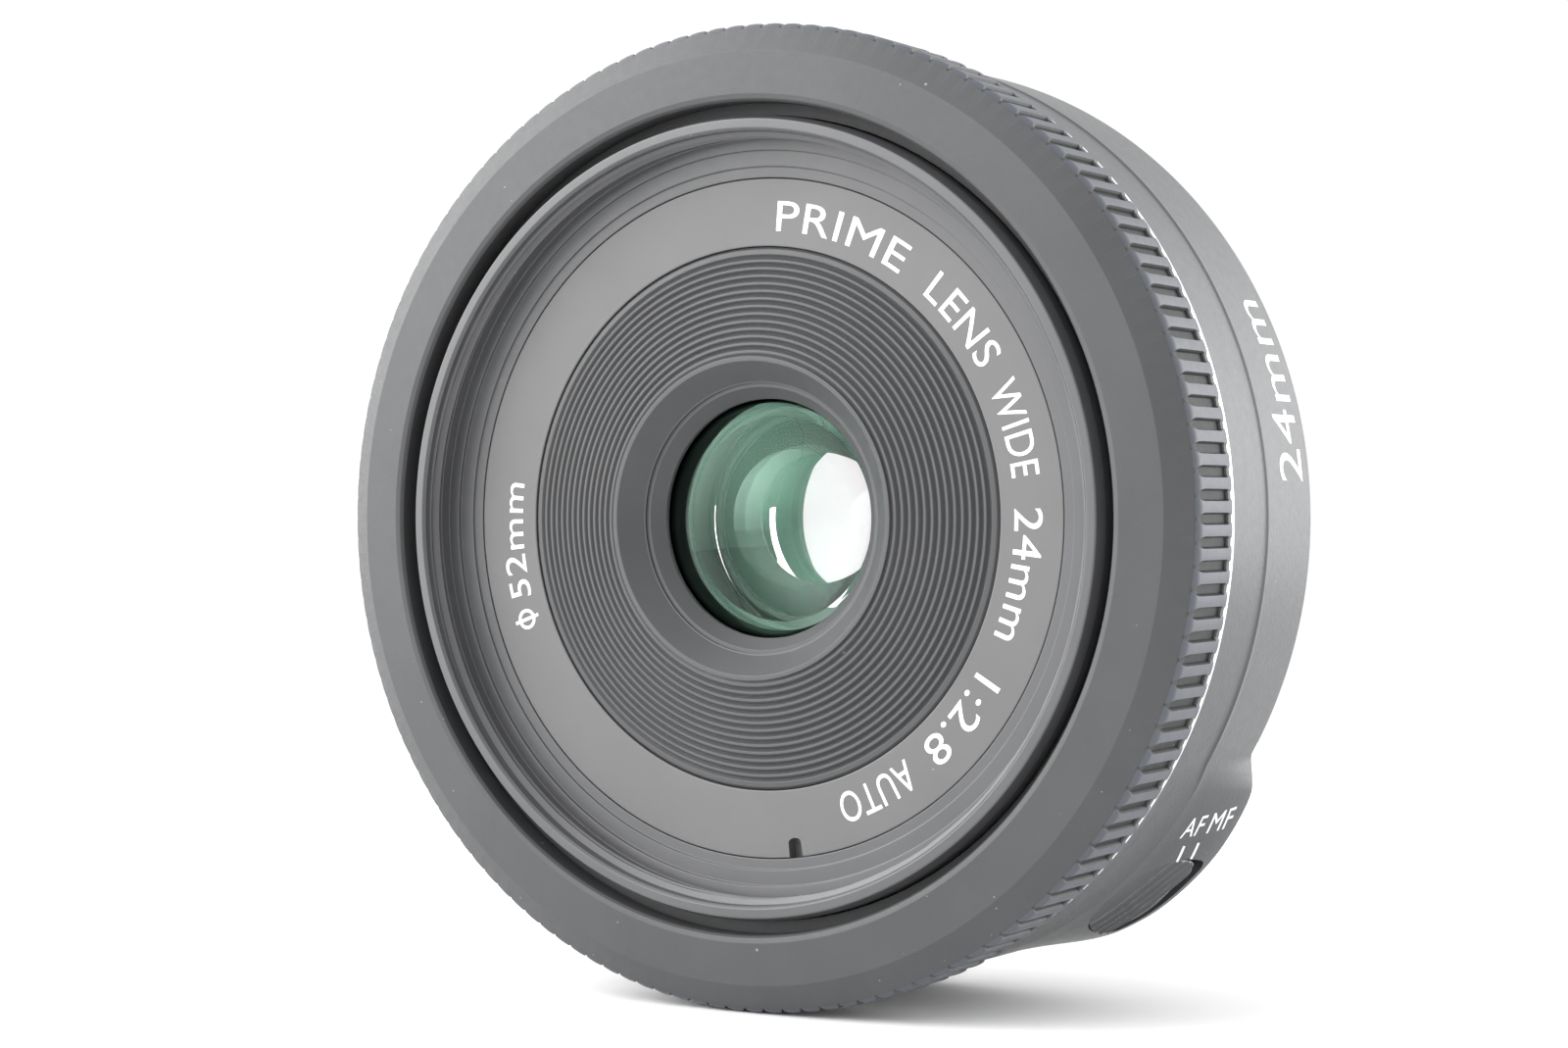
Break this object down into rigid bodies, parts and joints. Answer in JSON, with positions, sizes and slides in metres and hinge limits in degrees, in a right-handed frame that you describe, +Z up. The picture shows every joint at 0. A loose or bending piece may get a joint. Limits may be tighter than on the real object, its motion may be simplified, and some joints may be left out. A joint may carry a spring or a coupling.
{
  "type": "prime camera lens",
  "caption": "Flat prime camera lens with a ribbed focus ring, extending optical unit, adjustable iris, focus mode switch and a bayonet mount.",
  "frame": {"origin": "centre of the bayonet flange's seating plane, on the optical axis", "axes": "+Y along the optical axis towards the camera body, -Y towards the subject, +X to the right and +Z up as seen from the front; the lens lies on its side with the optical axis level"},
  "size_m": [0.0666, 0.031, 0.0666],
  "materials": {
    "barrel_plastic": "fine-grained matt black moulding",
    "ring_plastic": "fine-grained matt black moulding with moulded grips",
    "silver_trim": "satin bright trim",
    "inner_barrel_plastic": "satin black",
    "name_plate": "satin black with white lettering",
    "baffle_plastic": "matt black, ridged",
    "matt_black": "flat black",
    "inner_plastic": "glass-filled black moulding",
    "knob_plastic": "satin black",
    "mount_metal": "satin chrome-plated",
    "screw_steel": "zinc plated",
    "spring_steel": "satin",
    "motor_steel": "satin",
    "cam_metal": "hard black-grey anodised",
    "brass_gear": "turned brass",
    "gear_plastic": "natural acetal",
    "contact_plastic": "semi-gloss black",
    "gold_contact": "gold plated",
    "rubber_seal": "soft matt rubber",
    "circuit_board": "solder resist",
    "chip_plastic": "epoxy package",
    "flex_film": "polyimide film",
    "blade_metal": "black coated",
    "optical_glass": "polished, coated",
    "coated_glass": "polished, green multi-layer coating"
  },
  "bodies": {
    "fixed_barrel": {"rear_barrel": "barrel_plastic", "mount_ring": "mount_metal", "mount_screws": "screw_steel", "contact_block": "contact_plastic", "contact_pins": "gold_contact", "contact_block_screws": "screw_steel", "rear_baffle": "matt_black", "rear_rubber_ring": "rubber_seal", "chassis": "inner_plastic", "guide_sleeve": "inner_plastic", "sleeve_screws": "screw_steel", "cam_ring_housing": "inner_plastic", "cam_ring_clips": "spring_steel", "main_board": "circuit_board", "board_chips": "chip_plastic", "contact_flex": "flex_film", "stepper_motor": "motor_steel", "motor_bracket": "spring_steel", "gear_shaft": "spring_steel", "photo_interrupters": "chip_plastic", "switch_board": "circuit_board", "home_sensor": "chip_plastic"},
    "focus_ring_body": {"focus_ring": "ring_plastic", "silver_trim_ring": "silver_trim", "encoder_comb": "inner_plastic"},
    "cam_ring_body": {"cam_ring": "cam_metal"},
    "motor_shaft_body": {"motor_shaft": "brass_gear"},
    "reduction_gear_body": {"reduction_gear": "gear_plastic"},
    "optical_unit": {"inner_barrel": "inner_barrel_plastic", "name_ring": "name_plate", "front_baffle": "baffle_plastic", "lens_core_tube": "inner_plastic", "cam_followers": "brass_gear", "guide_keys": "brass_gear", "lens_element_1": "coated_glass", "lens_element_2": "optical_glass", "lens_element_3": "optical_glass", "lens_element_4": "optical_glass", "lens_element_5": "optical_glass", "lens_element_6": "coated_glass", "front_lens_cell": "matt_black", "rear_lens_cell": "matt_black", "front_retaining_ring": "matt_black", "rear_retaining_ring": "matt_black", "iris_base_plate": "matt_black", "iris_cover_plate": "spring_steel", "iris_plate_screws": "screw_steel", "iris_motor": "motor_steel"},
    "iris_ring_body": {"iris_drive_ring": "gear_plastic"},
    "iris_pinion_body": {"iris_motor_pinion": "brass_gear"},
    "af_mf_switch": {"switch_knob": "knob_plastic", "switch_slider": "inner_plastic"},
    "blade_1": {"iris_blade_1": "blade_metal"},
    "blade_2": {"iris_blade_2": "blade_metal"},
    "blade_3": {"iris_blade_3": "blade_metal"},
    "blade_4": {"iris_blade_4": "blade_metal"},
    "blade_5": {"iris_blade_5": "blade_metal"},
    "blade_6": {"iris_blade_6": "blade_metal"},
    "blade_7": {"iris_blade_7": "blade_metal"}
  },
  "joints": [
    {"name": "focus_ring_turn", "type": "hinge", "parent": "fixed_barrel", "child": "focus_ring_body", "pos_m": [0, -0.018, 0], "axis": [0, -1, 0], "continuous": true},
    {"name": "cam_ring_turn", "type": "hinge", "parent": "fixed_barrel", "child": "cam_ring_body", "pos_m": [0, -0.01, 0], "axis": [0, -1, 0], "range_deg": [0, 100]},
    {"name": "focus_extension", "type": "slide", "parent": "fixed_barrel", "child": "optical_unit", "axis": [0, -1, 0], "range_m": [0, 0.006]},
    {"name": "reduction_gear_turn", "type": "hinge", "parent": "fixed_barrel", "child": "reduction_gear_body", "pos_m": [0, -0.0155, 0.021], "axis": [0, -1, 0], "range_deg": [-1301, 1]},
    {"name": "motor_turn", "type": "hinge", "parent": "fixed_barrel", "child": "motor_shaft_body", "pos_m": [-0.00478, -0.0155, 0.02148], "axis": [0, -1, 0], "range_deg": [-1, 2861]},
    {"name": "iris_ring_turn", "type": "hinge", "parent": "optical_unit", "child": "iris_ring_body", "pos_m": [0, -0.0106, 0], "axis": [0, -1, 0], "range_deg": [0, 30]},
    {"name": "iris_motor_turn", "type": "hinge", "parent": "optical_unit", "child": "iris_pinion_body", "pos_m": [0.01033, -0.0112, 0.00482], "axis": [0, -1, 0], "range_deg": [-313, 1]},
    {"name": "blade_1_swing", "type": "hinge", "parent": "optical_unit", "child": "blade_1", "pos_m": [0.01, -0.0098, 0], "axis": [0, -1, 0], "range_deg": [-22.1, 0.1]},
    {"name": "blade_2_swing", "type": "hinge", "parent": "optical_unit", "child": "blade_2", "pos_m": [0.00623, -0.0098, 0.00782], "axis": [0, -1, 0], "range_deg": [-22.1, 0.1]},
    {"name": "blade_3_swing", "type": "hinge", "parent": "optical_unit", "child": "blade_3", "pos_m": [-0.00223, -0.0098, 0.00975], "axis": [0, -1, 0], "range_deg": [-22.1, 0.1]},
    {"name": "blade_4_swing", "type": "hinge", "parent": "optical_unit", "child": "blade_4", "pos_m": [-0.00901, -0.0098, 0.00434], "axis": [0, -1, 0], "range_deg": [-22.1, 0.1]},
    {"name": "blade_5_swing", "type": "hinge", "parent": "optical_unit", "child": "blade_5", "pos_m": [-0.00901, -0.0098, -0.00434], "axis": [0, -1, 0], "range_deg": [-22.1, 0.1]},
    {"name": "blade_6_swing", "type": "hinge", "parent": "optical_unit", "child": "blade_6", "pos_m": [-0.00223, -0.0098, -0.00975], "axis": [0, -1, 0], "range_deg": [-22.1, 0.1]},
    {"name": "blade_7_swing", "type": "hinge", "parent": "optical_unit", "child": "blade_7", "pos_m": [0.00623, -0.0098, -0.00782], "axis": [0, -1, 0], "range_deg": [-22.1, 0.1]},
    {"name": "af_mf_slide", "type": "slide", "parent": "fixed_barrel", "child": "af_mf_switch", "axis": [0, 1, 0], "range_m": [0, 0.0012]}
  ],
  "couplings": [
    {"joint": "focus_extension", "follows": "cam_ring_turn", "m_per_rad": 0.0034377},
    {"joint": "reduction_gear_turn", "follows": "cam_ring_turn", "ratio": -13},
    {"joint": "motor_turn", "follows": "cam_ring_turn", "ratio": 28.6},
    {"joint": "iris_motor_turn", "follows": "iris_ring_turn", "ratio": -10.4},
    {"joint": "blade_1_swing", "follows": "iris_ring_turn", "ratio": -0.73333},
    {"joint": "blade_2_swing", "follows": "iris_ring_turn", "ratio": -0.73333},
    {"joint": "blade_3_swing", "follows": "iris_ring_turn", "ratio": -0.73333},
    {"joint": "blade_4_swing", "follows": "iris_ring_turn", "ratio": -0.73333},
    {"joint": "blade_5_swing", "follows": "iris_ring_turn", "ratio": -0.73333},
    {"joint": "blade_6_swing", "follows": "iris_ring_turn", "ratio": -0.73333},
    {"joint": "blade_7_swing", "follows": "iris_ring_turn", "ratio": -0.73333}
  ]
}
